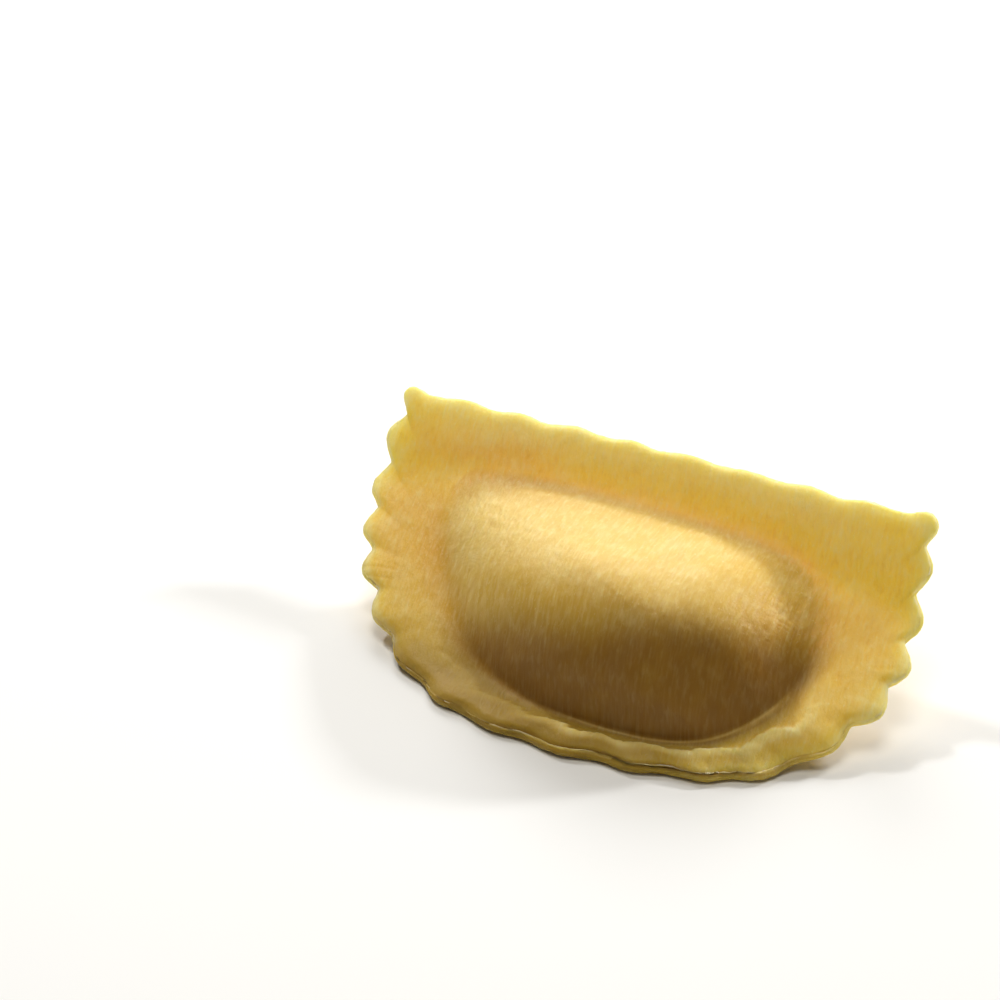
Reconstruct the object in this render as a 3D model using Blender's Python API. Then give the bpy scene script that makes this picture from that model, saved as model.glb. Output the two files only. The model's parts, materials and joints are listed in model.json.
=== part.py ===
"""A raw filled pasta parcel, one half moon with a fluted edge, lying on its belly. Metres, +Z up.

Two sheets of dough are pressed together round a pocket of filling. The half moon is laid out flat
first, bent next, and given its pocket, its belly and its flutes along the bent sheet's normal.
"""

import math

import bmesh
import bpy
import numpy as np

MM = 0.001
NAME = "panzerotto"

# The flat half moon. X runs along its straight edge, Q from that edge to the front of the curved one.
LENGTH = 70 * MM
DEPTH = 42.5 * MM
CORNER_POWER = 0.91  # below 1 the curved edge leaves the two ears more squarely
FRONT_POWER = 0.74  # below 1 the front of the curved edge is flatter
SIDE_FULLNESS = 1.7 * MM
HOLLOW = 0.45 * MM  # how far the middle of the straight edge lies inside the line between the ears
LEAN = 0.10  # the front has slid towards +X by this share of Q
DOUGH = 1.7 * MM  # both sheets pressed together
CUT_BULGE = 0.2 * MM

# The flutes that the cutter leaves, counted from the left ear round the curved edge.
CURVED_LOBES = 18
STRAIGHT_LOBES = 9
LOBE = 0.73 * MM  # round the two sides, where the notches are sharp
FRONT_LOBE = 0.34 * MM  # along the front, where the flutes are soft waves
STRAIGHT_LOBE = 0.20 * MM
LOBE_ROUNDNESS = 1.3
WAVE_ROUNDNESS = 2.0
FRONT_START = (4.8, 6.4)  # the lobes between which the notches turn into waves
FRONT_END = (12.2, 13.6)
LOBE_DRIFT = 0.55  # the lobes crowd towards the ears
EAR = 0.55 * MM
EAR_SPREAD = 0.5
EAR_ROUNDING = 0.24  # in lobes
FLUTE_HEIGHT = 0.07 * MM  # how far the lobes also stand out of the sheet
# Where the real outline strays from the even one: the lobe, how far out and over how many lobes.
STRAYS = (
    (0.0, -0.6 * MM, 0.6),
    (6.8, 0.8 * MM, 1.6),
    (11.8, 1.0 * MM, 1.1),
    (14.0, 0.4 * MM, 1.1),
    (16.2, -0.9 * MM, 1.1),
)
# Where the lobes lie further round than the even drift says: the lobe, by how much, over how many.
SHIFTS = ((2.2, 0.28, 1.7), (8.0, -0.15, 1.0), (12.2, -0.18, 1.0), (13.8, 0.12, 1.0))

# The pocket of filling.
POCKET_X = 0.9 * MM
POCKET_Q = 24.8 * MM  # where the dome is highest
POCKET_HALF_LENGTH = 22.4 * MM
POCKET_BACK = 18.3 * MM
POCKET_FRONT = 13 * MM
POCKET_NARROWING = 0.45  # half length lost for each step towards the front
POCKET_LEAN = 0.13  # and how far the pocket's middle line moves towards +X with it
BACK_POWER = 5.0  # high, so the pocket is square at the back and runs level along its length
FRONT_ROUND = 3.0  # low, so it is round at the front
CROSS_POWER = 2.0
DOME = 8.4 * MM
FRONT_WALL = 0.55  # low, so the front wall is steep
BACK_WALL = 1.6  # high, so the back runs out gently
WALL_LEAN = 0.25  # the steep wall reaches further round on the +X side
FRONT_FOOT = 0.015  # how softly the walls meet the sheet, as a share of the pocket's level
BACK_FOOT = 0.30
BELLY = 7.0 * MM
BELLY_WALL = 0.85
# Soft lumps in the filling: X, Q, height and radius.
LUMPS = (
    (-16 * MM, 18.5 * MM, -1.4 * MM, 8 * MM),
    (-16 * MM, 24 * MM, 0.5 * MM, 5 * MM),
    (0 * MM, 26 * MM, 1.7 * MM, 9 * MM),
    (12 * MM, 24 * MM, 0.8 * MM, 8 * MM),
    (21 * MM, 15 * MM, -2.2 * MM, 7 * MM),
)

# The pressed border round the pocket, whose places are shares of its width from the foot outwards.
PRESS_LINE = 0.25 * MM
PRESS_AT = 0.12
PRESS_WIDTH = 0.09
RIDGE = 0.28 * MM
RIDGE_AT = 0.55
RIDGE_WIDTH = 0.2
PRESSED_LOBES = (7.5, 9.0, 12.6, 13.8)  # where both start, are whole, fade and end
TOP_ROUNDING = 0.5 * MM
BELOW_ROUNDING = 0.12 * MM
ROUNDING_POWER = 14

# The bend, as slopes of the sheet in degrees from the table.
FRONT_SLOPE = 2.2
POCKET_SLOPE = 24.5
RIM_SLOPE = 52.5
TIP_SLOPE = 48.0
RIM_TWIST = -6.5  # what the left ear's rim adds to its slope, and the right one's takes off
FOLD_MIDDLE = 8.5 * MM
FOLD_SIDE = 11.5 * MM
FOLD_WIDTH = 4.5 * MM
FRONT_REST = 3.0 * MM  # flat on the table this far in from the front
FRONT_BEND = 6.0 * MM
SIDE_SAG = 1.25 * MM
CONTACT_BLEND = 0.3 * MM
BEND_STEPS = 90

# The mesh: points along each lobe, and the rings between the pocket's foot and the edge.
LOBE_POINTS = 6
RELAX_ROUNDS = 60
BORDER_RINGS = (0.10, 0.25, 0.42, 0.60, 0.78, 0.92, 1.0)

DOUGH_COLOR = (0.80, 0.56, 0.20, 1.0)
DOUGH_ROUGHNESS = 0.45


def smooth_step(low, high, value):
    share = np.clip((value - low) / (high - low), 0, 1)
    return share * share * (3 - 2 * share)


def bump(value, middle, width):
    return np.exp(-(((value - middle) / width) ** 2))


def signed_power(value, power):
    return np.sign(value) * np.abs(value) ** power


# ---- the flat half moon

def curved_edge():
    """The curved edge from the left ear to the right one, as a fine run of points."""
    angle = np.linspace(0, math.pi, 2000)
    x = -LENGTH / 2 * signed_power(np.cos(angle), CORNER_POWER)
    q = DEPTH * np.sin(angle) ** FRONT_POWER
    x += SIDE_FULLNESS * np.sin(math.pi * q / DEPTH) * np.sign(x) * (1 - (q / DEPTH) ** 6)
    return x, q


def sharp_edge(lobe):
    """The half moon's outline without flutes, where lobe counts round it from the left ear."""
    x, q = curved_edge()
    run = np.concatenate([[0], np.cumsum(np.hypot(np.diff(x), np.diff(q)))])
    lobe = lobe % (CURVED_LOBES + STRAIGHT_LOBES)
    even = np.clip(lobe, 0, CURVED_LOBES)
    drift = sum(by * bump(even, at, spread) for at, by, spread in SHIFTS)
    drift *= np.sin(math.pi * even / CURVED_LOBES) ** 0.5
    drift -= LOBE_DRIFT * np.sin(2 * math.pi * even / CURVED_LOBES)
    along = (even + drift) / CURVED_LOBES * run[-1]
    back = np.clip((lobe - CURVED_LOBES) / STRAIGHT_LOBES, 0, 1)
    back_x = LENGTH / 2 * (1 - 2 * back)
    back_q = HOLLOW * (1 - np.abs(1 - 2 * back) ** 3)
    on_curve = lobe <= CURVED_LOBES
    return (
        np.where(on_curve, np.interp(along, run, x), back_x),
        np.where(on_curve, np.interp(along, run, q), back_q),
    )


def plain_edge(lobe):
    """The same outline with its two ears rounded off."""
    rounding = EAR_ROUNDING * np.linspace(-1, 1, 5)
    places = [sharp_edge(lobe + shift) for shift in rounding]
    return sum(x for x, _ in places) / len(places), sum(q for _, q in places) / len(places)


def near_lobe(lobe, middle, spread):
    """1 at the middle lobe, falling to 0 on both sides of it, round the whole outline."""
    lobes = CURVED_LOBES + STRAIGHT_LOBES
    apart = (lobe - middle) % lobes
    return bump(np.minimum(apart, lobes - apart), 0, spread)


def ear_share(lobe):
    return near_lobe(lobe, 0, EAR_SPREAD) + near_lobe(lobe, CURVED_LOBES, EAR_SPREAD)


def straight_share(lobe):
    """1 along the straight edge, 0 along the curved one."""
    to_left_ear = CURVED_LOBES + STRAIGHT_LOBES - lobe
    return smooth_step(0, 0.6, lobe - CURVED_LOBES) * smooth_step(0, 0.6, to_left_ear)


def front_share(lobe):
    """1 along the front of the curved edge, 0 round its two sides."""
    return smooth_step(*FRONT_START, lobe) * (1 - smooth_step(*FRONT_END, lobe))


def lobe_wave(lobe):
    """The flutes' height over the plain outline: most on a crest, least in a notch."""
    front, straight = front_share(lobe), straight_share(lobe)
    roundness = LOBE_ROUNDNESS + (WAVE_ROUNDNESS - LOBE_ROUNDNESS) * (front + straight)
    height = LOBE + (FRONT_LOBE - LOBE) * front + (STRAIGHT_LOBE - LOBE) * straight
    return height * (2 * np.abs(np.cos(math.pi * lobe)) ** roundness - 1)


def stray(lobe):
    return sum(out * near_lobe(lobe, at, spread) for at, out, spread in STRAYS)


def fluted_edge(lobe):
    """The outline with its flutes and its two ears."""
    x, q = plain_edge(lobe)
    ahead_x, ahead_q = plain_edge(lobe + 0.3)
    behind_x, behind_q = plain_edge(lobe - 0.3)
    out_x, out_q = behind_q - ahead_q, ahead_x - behind_x
    size = np.hypot(out_x, out_q)
    out = (lobe_wave(lobe) + EAR * ear_share(lobe) + stray(lobe)) / size
    return x + out_x * out, q + out_q * out


def pocket_half_length(q):
    return POCKET_HALF_LENGTH - POCKET_NARROWING * (q - POCKET_Q)


def pocket_middle(q):
    return POCKET_X + POCKET_LEAN * (q - POCKET_Q)


def long_power(q):
    front = smooth_step(POCKET_Q - POCKET_BACK / 2, POCKET_Q + POCKET_FRONT / 2, q)
    return BACK_POWER + (FRONT_ROUND - BACK_POWER) * front


def pocket_foot(toward_x, toward_q):
    """Where the pocket's outline lies in that direction from its middle."""
    reach = np.where(toward_q > 0, POCKET_FRONT, POCKET_BACK)
    across = np.abs(toward_x / POCKET_HALF_LENGTH) ** (BACK_POWER / 2)
    along = np.abs(toward_q / reach) ** (CROSS_POWER / 2)
    size = np.hypot(across, along)
    q = POCKET_Q + reach * np.sign(toward_q) * (along / size) ** (2 / CROSS_POWER)
    half = pocket_half_length(q) * (across / size) ** (2 / long_power(q))
    return pocket_middle(q) + half * np.sign(toward_x), q


def pocket_level(x, q):
    """0 in the pocket's middle, 1 on its foot and more outside it."""
    reach = np.where(q > POCKET_Q, POCKET_FRONT, POCKET_BACK)
    across = np.abs((x - pocket_middle(q)) / pocket_half_length(q))
    return across ** long_power(q) + np.abs((q - POCKET_Q) / reach) ** CROSS_POWER


# ---- the sheet's template: a square whose rings become the pocket, the border and the cut edge

def lobe_at(a, b):
    """The place round the edge, in lobes, that a point on the rim of the unit square stands for."""
    side = CURVED_LOBES / 4
    on_left = a <= -1 + 1e-6
    on_front = b <= -1 + 1e-6
    on_right = a >= 1 - 1e-6
    left = side * (1 - b) / 2
    front = side + 2 * side * (a + 1) / 2
    right = 3 * side + side * (b + 1) / 2
    back = CURVED_LOBES + STRAIGHT_LOBES * (1 - a) / 2
    return np.where(on_left, left, np.where(on_front, front, np.where(on_right, right, back)))


def relaxed(x, q, edges, free):
    """The same points with each free one moved, again and again, to the middle of its neighbours."""
    first, second = edges.T
    count = np.bincount(edges.ravel(), minlength=len(x))
    for _ in range(RELAX_ROUNDS):
        for value in (x, q):
            total = np.bincount(first, value[second], len(x)) + np.bincount(second, value[first], len(x))
            value[free] = (total / count)[free]
    return x, q


def lay_out(a, b):
    """Flat place (x, q) of each template point, its lobe and its share of the border."""
    ring = np.maximum(np.maximum(np.abs(a), np.abs(b)), 1e-9)
    lobe = lobe_at(a / ring, b / ring)
    plain_x, plain_q = plain_edge(lobe)
    edge_x, edge_q = fluted_edge(lobe)
    foot_x, foot_q = pocket_foot(plain_x - POCKET_X, plain_q - POCKET_Q)
    border = np.clip(ring - 1, 0, 1)
    fade = border**3
    x = foot_x + (plain_x - foot_x) * border + (edge_x - plain_x) * fade
    q = foot_q + (plain_q - foot_q) * border + (edge_q - plain_q) * fade
    inside = np.minimum(ring, 1)
    x = POCKET_X + (x - POCKET_X) * inside
    q = POCKET_Q + (q - POCKET_Q) * inside
    return x, q, lobe, border


# ---- heights over the flat sheet

def front_wall_share(x, q):
    """1 towards the pocket's steep front wall, 0 towards its gentle back."""
    out_x, out_q = x - POCKET_X, q - POCKET_Q
    size = np.maximum(np.hypot(out_x, out_q), 1e-9)
    return np.clip((1 + (out_q + WALL_LEAN * out_x) / size) / 2, 0, 1)


def dome_height(x, q):
    front = front_wall_share(x, q)
    foot = BACK_FOOT + (FRONT_FOOT - BACK_FOOT) * front
    inside = 1 - pocket_level(x, q)
    inside = (inside + np.sqrt(inside**2 + foot**2)) / (1 + np.sqrt(1 + foot**2))
    height = DOME * inside ** (BACK_WALL + (FRONT_WALL - BACK_WALL) * front)
    for lump_x, lump_q, lump, radius in LUMPS:
        height += lump * bump(np.hypot(x - lump_x, q - lump_q), 0, radius) * inside
    return height


def belly_depth(x, q):
    return BELLY * (1 - np.minimum(pocket_level(x, q), 1)) ** BELLY_WALL


def border_relief(lobe, border):
    """The press line at the pocket's foot, the ridge along the front and the rounded edge."""
    start, whole, fade, end = PRESSED_LOBES
    pressed = smooth_step(start, whole, lobe) * (1 - smooth_step(fade, end, lobe))
    relief = RIDGE * bump(border, RIDGE_AT, RIDGE_WIDTH)
    relief -= PRESS_LINE * bump(border, PRESS_AT, PRESS_WIDTH)
    return pressed * relief - TOP_ROUNDING * border**ROUNDING_POWER


def flute_lift(lobe, border):
    height = FLUTE_HEIGHT * (1 - straight_share(lobe))
    return height * np.cos(2 * math.pi * lobe) * smooth_step(0.6, 1, border)


# ---- the bend

def slope(x, q):
    """The sheet's slope in radians at the flat point (x, q): low at the front, steep past the fold."""
    side = x / (LENGTH / 2)
    fold = FOLD_MIDDLE + (FOLD_SIDE - FOLD_MIDDLE) * side**2
    rim = RIM_SLOPE - RIM_TWIST * side
    past = smooth_step(-FOLD_WIDTH / 2, FOLD_WIDTH / 2, fold - q)
    curl = (TIP_SLOPE - RIM_SLOPE) * np.clip((fold - q) / fold, 0, 1)
    degrees = POCKET_SLOPE + (rim - POCKET_SLOPE) * past + curl * past
    front = smooth_step(DEPTH - FRONT_REST - FRONT_BEND, DEPTH - FRONT_REST, q)
    return np.radians(degrees + (FRONT_SLOPE - degrees) * front)


def bent_sheet(x, q):
    """World Y and Z of the sheet's middle, and its slope, summed up from the front to the point."""
    step = (DEPTH - q) / BEND_STEPS
    y = np.zeros_like(q)
    z = np.zeros_like(q)
    for number in range(BEND_STEPS):
        here = slope(x, DEPTH - step * (number + 0.5))
        y += np.cos(here) * step
        z += np.sin(here) * step
    z += DOUGH / 2 - SIDE_SAG * (x / (LENGTH / 2)) ** 2
    over = z - DOUGH / 2
    z = DOUGH / 2 + (over + np.sqrt(over**2 + CONTACT_BLEND**2)) / 2
    return y, z, slope(x, q)


def dough_points(template, edges):
    """Places of the template's points on the parcel. Their third number is 1 on top, -1 below."""
    a, b, layer = template.T
    x, q, lobe, border = lay_out(a, b)
    x, q = relaxed(x, q, edges, np.maximum(np.abs(a), np.abs(b)) < 1 - 1e-6)
    top = DOUGH / 2 + dome_height(x, q) + border_relief(lobe, border)
    below = DOUGH / 2 + belly_depth(x, q) - BELOW_ROUNDING * border**ROUNDING_POWER
    height = np.where(layer > 0, layer * top, layer * below) + flute_lift(lobe, border)
    cut = np.where(border >= 1, CUT_BULGE * (1 - layer**2), 0)
    x += LEAN * q + cut * np.sign(x)
    y, z, tilt = bent_sheet(x, q)
    points = np.stack([x, y - np.sin(tilt) * height, z + np.cos(tilt) * height], axis=1)
    points[:, 2] = np.maximum(points[:, 2], 0)
    middle = (points.min(axis=0) + points.max(axis=0)) / 2
    points[:, :2] -= middle[:2]
    return points


# ---- the mesh

def template_sheet(bm):
    """A square grid for the pocket, with the border's rings pulled out of its rim."""
    across = CURVED_LOBES * LOBE_POINTS // 2
    bmesh.ops.create_grid(bm, x_segments=across, y_segments=across // 2, size=1)
    rim = [edge for edge in bm.edges if edge.is_boundary]
    ring = 1.0
    for share in BORDER_RINGS:
        grown = bmesh.ops.extrude_edge_only(bm, edges=rim)["geom"]
        points = [item for item in grown if isinstance(item, bmesh.types.BMVert)]
        bmesh.ops.scale(bm, vec=((1 + share) / ring,) * 3, verts=points)
        rim = [item for item in grown if isinstance(item, bmesh.types.BMEdge) and item.is_boundary]
        ring = 1 + share
    return rim


def template_solid():
    """Top and bottom sheets one over the other, joined by the cut edge."""
    bm = bmesh.new()
    rim = template_sheet(bm)
    below = bmesh.ops.duplicate(bm, geom=bm.verts[:] + bm.edges[:] + bm.faces[:])
    lower = [item for item in below["geom"] if isinstance(item, bmesh.types.BMVert)]
    lower_faces = [item for item in below["geom"] if isinstance(item, bmesh.types.BMFace)]
    bmesh.ops.reverse_faces(bm, faces=lower_faces)
    lower_set = set(lower)
    for vert in bm.verts:
        vert.co.z = -1 if vert in lower_set else 1
    middle = bmesh.ops.extrude_edge_only(bm, edges=rim)["geom"]
    for item in middle:
        if isinstance(item, bmesh.types.BMVert):
            item.co.z = 0
    loop = [item for item in middle if isinstance(item, bmesh.types.BMEdge) and item.is_boundary]
    lower_rim = [edge for edge in bm.edges if edge.is_boundary and edge.verts[0] in lower_set]
    bmesh.ops.bridge_loops(bm, edges=loop + lower_rim)
    mesh = bpy.data.meshes.new(NAME)
    bm.to_mesh(mesh)
    bm.free()
    return mesh


def dough_material():
    material = bpy.data.materials.new("dough")
    material.use_nodes = True
    shader = material.node_tree.nodes["Principled BSDF"]
    shader.inputs["Base Color"].default_value = DOUGH_COLOR
    shader.inputs["Roughness"].default_value = DOUGH_ROUGHNESS
    shader.inputs["Metallic"].default_value = 0.0
    return material


def clear_scene():
    for obj in list(bpy.data.objects):
        bpy.data.objects.remove(obj, do_unlink=True)


def main():
    clear_scene()
    mesh = template_solid()
    template = np.empty(len(mesh.vertices) * 3)
    mesh.vertices.foreach_get("co", template)
    edges = np.empty(len(mesh.edges) * 2, np.int32)
    mesh.edges.foreach_get("vertices", edges)
    points = dough_points(template.reshape(-1, 3), edges.reshape(-1, 2))
    mesh.vertices.foreach_set("co", points.ravel())
    mesh.update()
    mesh.shade_smooth()
    mesh.materials.append(dough_material())
    parcel = bpy.data.objects.new(NAME, mesh)
    collection = bpy.data.collections.new(NAME)
    bpy.context.scene.collection.children.link(collection)
    collection.objects.link(parcel)


main()
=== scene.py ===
"""A raw filled pasta parcel on a pale table, shaped and coloured round its packed solid.

Two sheets of dough are pressed together round a pocket of filling and cut with a fluted wheel. The
parcel is laid out flat first, bent next, and then given the relief and the colours of raw dough.
"""

import json
import math

import bpy
import numpy as np
from bpy.props import FloatProperty, FloatVectorProperty, IntProperty, PointerProperty
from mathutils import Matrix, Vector, noise

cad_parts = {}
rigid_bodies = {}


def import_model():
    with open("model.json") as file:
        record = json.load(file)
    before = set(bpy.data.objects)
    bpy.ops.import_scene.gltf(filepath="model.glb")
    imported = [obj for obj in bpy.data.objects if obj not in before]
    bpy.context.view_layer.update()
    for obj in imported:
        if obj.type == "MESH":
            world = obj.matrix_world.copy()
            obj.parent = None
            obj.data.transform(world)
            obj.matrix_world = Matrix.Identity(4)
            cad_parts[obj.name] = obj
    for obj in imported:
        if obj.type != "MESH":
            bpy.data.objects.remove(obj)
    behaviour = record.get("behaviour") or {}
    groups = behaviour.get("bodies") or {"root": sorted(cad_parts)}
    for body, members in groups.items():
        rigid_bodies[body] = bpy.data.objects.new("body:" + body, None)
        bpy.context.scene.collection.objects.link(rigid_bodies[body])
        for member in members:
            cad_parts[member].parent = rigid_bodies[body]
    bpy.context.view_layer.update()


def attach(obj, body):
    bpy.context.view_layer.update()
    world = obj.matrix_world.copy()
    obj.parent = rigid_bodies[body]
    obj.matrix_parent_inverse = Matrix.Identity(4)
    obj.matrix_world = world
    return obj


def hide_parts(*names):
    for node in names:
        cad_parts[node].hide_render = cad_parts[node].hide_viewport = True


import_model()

bl_info = {
    "name": "Filled Pasta Parcel",
    "version": (1, 0, 0),
    "blender": (4, 5, 0),
    "location": "3D View > Sidebar > Pasta",
    "description": "Models a raw half-moon pasta parcel with a fluted edge, and a table to show it on",
    "category": "Add Mesh",
}

MM = 0.001
PIECE = "panzerotto_dough"
NODE = "panzerotto"

# The flat half moon, beyond the sizes that its property group holds.
CORNER_POWER = 0.91  # below 1 the curved edge leaves the two ears more squarely
FRONT_POWER = 0.74  # below 1 the front of the curved edge is flatter
SIDE_FULLNESS = 1.7 * MM
HOLLOW = 0.45 * MM  # how far the middle of the straight edge lies inside the line between the ears
LEAN = 0.10  # the front has slid towards +X by this share of the way from the straight edge
LOBE_ROUNDNESS = 1.3  # round the two sides, where the notches are sharp
WAVE_ROUNDNESS = 2.0  # along the front, where the flutes are soft waves, and on the straight edge
FRONT_START = (4.8, 6.4)  # the lobes between which the notches turn into waves
FRONT_END = (12.2, 13.6)
LOBE_DRIFT = 0.55  # the lobes crowd towards the ears
EAR = 0.55 * MM
EAR_SPREAD = 0.5
EAR_ROUNDING = 0.24  # in lobes
FLUTE_HEIGHT = 0.07 * MM
FLUTE_START = 0.6  # the share of the border past which the flutes rise and fall
# Where the outline strays from the even one: the lobe, how far out and over how many lobes.
STRAYS = (
    (0.0, -0.6 * MM, 0.6),
    (6.8, 0.8 * MM, 1.6),
    (11.8, 1.0 * MM, 1.1),
    (14.0, 0.4 * MM, 1.1),
    (16.2, -0.9 * MM, 1.1),
)
# Where the lobes lie further round than the even drift says: the lobe, by how much, over how many.
SHIFTS = ((2.2, 0.28, 1.7), (8.0, -0.15, 1.0), (12.2, -0.18, 1.0), (13.8, 0.12, 1.0))

# The cut edge, whose layer is 1 at its top corner and -1 at the lower one.
CUT_BULGE = 0.2 * MM
SEAM = 0.16 * MM
SEAM_AT = 0.05
SEAM_SWAY = 0.35
SEAM_WIDTH = 0.22
RAGGED = 0.12 * MM
RAGGED_FINE = 0.6  # the share of it that the finer teeth have
FACE_LOBES = 0.7  # half the height of the cut face, counted in lobes
UNEVEN = 0.16 * MM  # how far the cut strays in and out
UNEVEN_LOBES = 0.45  # over about this many lobes

# The pocket of filling. X runs along the straight edge, Q from it to the front.
POCKET_X = 0.9 * MM
POCKET_Q = 24.8 * MM
POCKET_NARROWING = 0.45
POCKET_LEAN = 0.13
BACK_POWER = 5.0
FRONT_ROUND = 3.0
CROSS_POWER = 2.0
FRONT_WALL = 0.55
BACK_WALL = 1.6
WALL_LEAN = 0.25
FRONT_FOOT = 0.015  # how softly the walls meet the sheet, as a share of the pocket's level
BACK_FOOT = 0.30
BELLY_WALL = 0.85
LUMPS = (
    (-16 * MM, 18.5 * MM, -1.4 * MM, 8 * MM),
    (-16 * MM, 24 * MM, 0.5 * MM, 5 * MM),
    (0 * MM, 26 * MM, 1.7 * MM, 9 * MM),
    (12 * MM, 24 * MM, 0.8 * MM, 8 * MM),
    (21 * MM, 15 * MM, -2.2 * MM, 7 * MM),
)

# The pressed border, whose places are shares of its width from the pocket's foot outwards.
PRESS_LINE = 0.25 * MM
PRESS_AT = 0.12
PRESS_WIDTH = 0.09
RIDGE = 0.28 * MM
RIDGE_AT = 0.55
RIDGE_WIDTH = 0.2
PRESSED_LOBES = (7.5, 9.0, 12.6, 13.8)  # where the press starts, is whole, fades and ends
TORN = 0.25  # how much of the crinkled fold goes on before the press starts
TORN_LOBES = (5.2, 6.0)
TOP_ROUNDING = 0.5 * MM
BELOW_ROUNDING = 0.12 * MM
ROUNDING_POWER = 14

# The relief, as heights.
FILLING_LUMP = 0.26 * MM
FILLING_CRUMB = 0.05 * MM
BROAD_STREAK = 0.035 * MM
FINE_STREAK = 0.022 * MM
MOTTLE = 0.022 * MM
WRINKLE = 0.11 * MM
PILLOW = 0.08 * MM
EDGE_ROLL = 0.20 * MM
FRONT_ROLL = 0.30 * MM
BORDER_DENT = 0.09 * MM
BORDER_RIPPLE = 0.04 * MM
EDGE_CRACK = 0.16 * MM
LIP = 0.07 * MM
RECESS = 0.14 * MM
CRINKLE = 0.30 * MM
PIT = 0.03 * MM
UNDERSIDE_RELIEF = 0.5

# Where the relief lies: by Q on the pocket and by shares of the border outside it.
WRINKLE_Q = 15 * MM
WRINKLE_SPREAD = 5 * MM
WRINKLE_WANDER = 1.2 * MM
CREASE_NARROWNESS = 1.6
PILLOW_START = 0.35
PILLOW_WHOLE = 0.9
EDGE_ROLL_START = 0.8
FRONT_ROLL_START = 0.45
LIP_AT = 0.08
LIP_SWAY = 0.02
LIP_WIDTH = 0.03
RECESS_AT = 0.25
RECESS_WIDTH = 0.13
CRINKLE_RISES = (0.38, 0.46)  # the crinkled fold's ragged inner side
CRINKLE_FALLS = (0.78, 0.48)  # and its gentle outer side
CRINKLE_SWAY = 0.07
CRINKLE_TEETH = 0.05
CRINKLE_FINE_TEETH = 0.03
PINCH = 0.6  # how much of the fold is missing where it is pinched
# What the flutes of the front and of the right side do without, as shares.
RIGHT_SIDE = (0.6, 0.75)  # of the curved edge
FRONT_LESS_PILLOW = 0.7
RIGHT_LESS_PILLOW = 0.75
RIGHT_LESS_ROLL = 0.5
RIGHT_LESS_LIFT = 0.8

# The tints, which paint glow, shade, shadow and highlights besides the dough's own tones. Each range runs
# from where a tint starts to where it is whole.
# The thin tint paints the glow of light shining through the rim and the cut edge, brighter than the dough's
# own colour.
THIN_SHEET = 0.3
RIM_PAINTED_GLOW = 0.7
THIN_RIM_Q = (16 * MM, 7 * MM)
EDGE_PAINTED_GLOW = 0.2
THIN_RIGHT = 0.2
THIN_RIGHT_X = (5 * MM, 20 * MM)
# Where the filling shows through the pocket's front wall, whose deep colour also paints that wall's shade.
SEE_THROUGH_Q = (1.5 * MM, 8.5 * MM)  # in front of the pocket's middle
SEE_THROUGH_LEAN = (0.02, 0.38)  # how much higher that reaches, for -X and for +X
# The foot's warm tint is painted shade round the pocket's foot.
SEE_THROUGH_PAST = 0.07  # how much farther over the border than the foot's warm tint
FOOT_REACH = 0.28  # how far over the border the foot's warm tint runs
FOOT_REACH_LEFT = 0.22  # and how much farther on the left
FOOT_LEFT_X = (2 * MM, -12 * MM)
SEAM_TINT = 0.1
FRONT_SEAM_TINT = 0.5
RAISED_LESS_DEEP = 0.8  # the share of it that the raised dry places do without
# The amber tint paints shade in the valley round the pocket's foot, on its sloping right end and in the
# crease at its back; on the left of the rim it is a warmer tone.
VALLEY_PAINTED_SHADE = 0.65
VALLEY_BACK = 0.05  # the share that is left behind the pocket
VALLEY_Q = (11 * MM, 21 * MM)
RIGHT_END_PAINTED_SHADE = 0.6
RIGHT_END_X = (14 * MM, 21 * MM)
RIGHT_END_Q = (13 * MM, 20 * MM)
LEFT_RIM_WARMTH = 0.32
LEFT_RIM_X = (-8 * MM, -20 * MM)
LEFT_RIM_Q = (10 * MM, 6 * MM)
BACK_PAINTED_SHADE = 0.1
BACK_LEFT_PAINTED_SHADE = 0.35
BACK_LEFT_X = (0, -14 * MM)
BACK_Q = (6 * MM, 9 * MM)
BACK_END_Q = (15 * MM, 11 * MM)
FRONT_SHADE = 0.9
FRONT_SHADE_Q = (29 * MM, 37 * MM)
FRONT_SHADE_X = (22 * MM, 2 * MM)
RECESS_SHADE = 0.5
RECESS_SHADE_WIDTH = 0.15
FACE_SHADE = 0.4
RAISED_LESS_SHADE = 0.7
EDGE_BAND = (0.90, 0.97)
EDGE_BAND_WAVE = 0.02
EDGE_BAND_WANDER = 0.03
PRESSED_LESS_BAND = 0.8
EDGE_BAND_LOWEST = -0.3  # how far down the cut face it goes, as a layer
# The pale tint paints glow on the rim's edge and by the cut edge, and highlights on the crown, the flute
# crests and the raised places.
RIM_EDGE_PAINTED_GLOW = 0.9
RIM_EDGE_X = (35 * MM, 19.25 * MM)
RIM_EDGE_Q = (11 * MM, 3 * MM)
CROWN_PAINTED_HIGHLIGHT = 0.5
CROWN_X = (19 * MM, 8 * MM)
CROWN_Q = (29 * MM, 18 * MM)
CROWN_BACK = 0.3  # the share that is left towards the rim
CROWN_BACK_Q = (9 * MM, 15 * MM)
PATCH_PALE = 0.35
RAISED_PALE = 0.3
RAISED_HEIGHT = (0.01 * MM, 0.08 * MM)
FOLD_PALE = 0.7
LIP_PALE = 0.6

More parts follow.
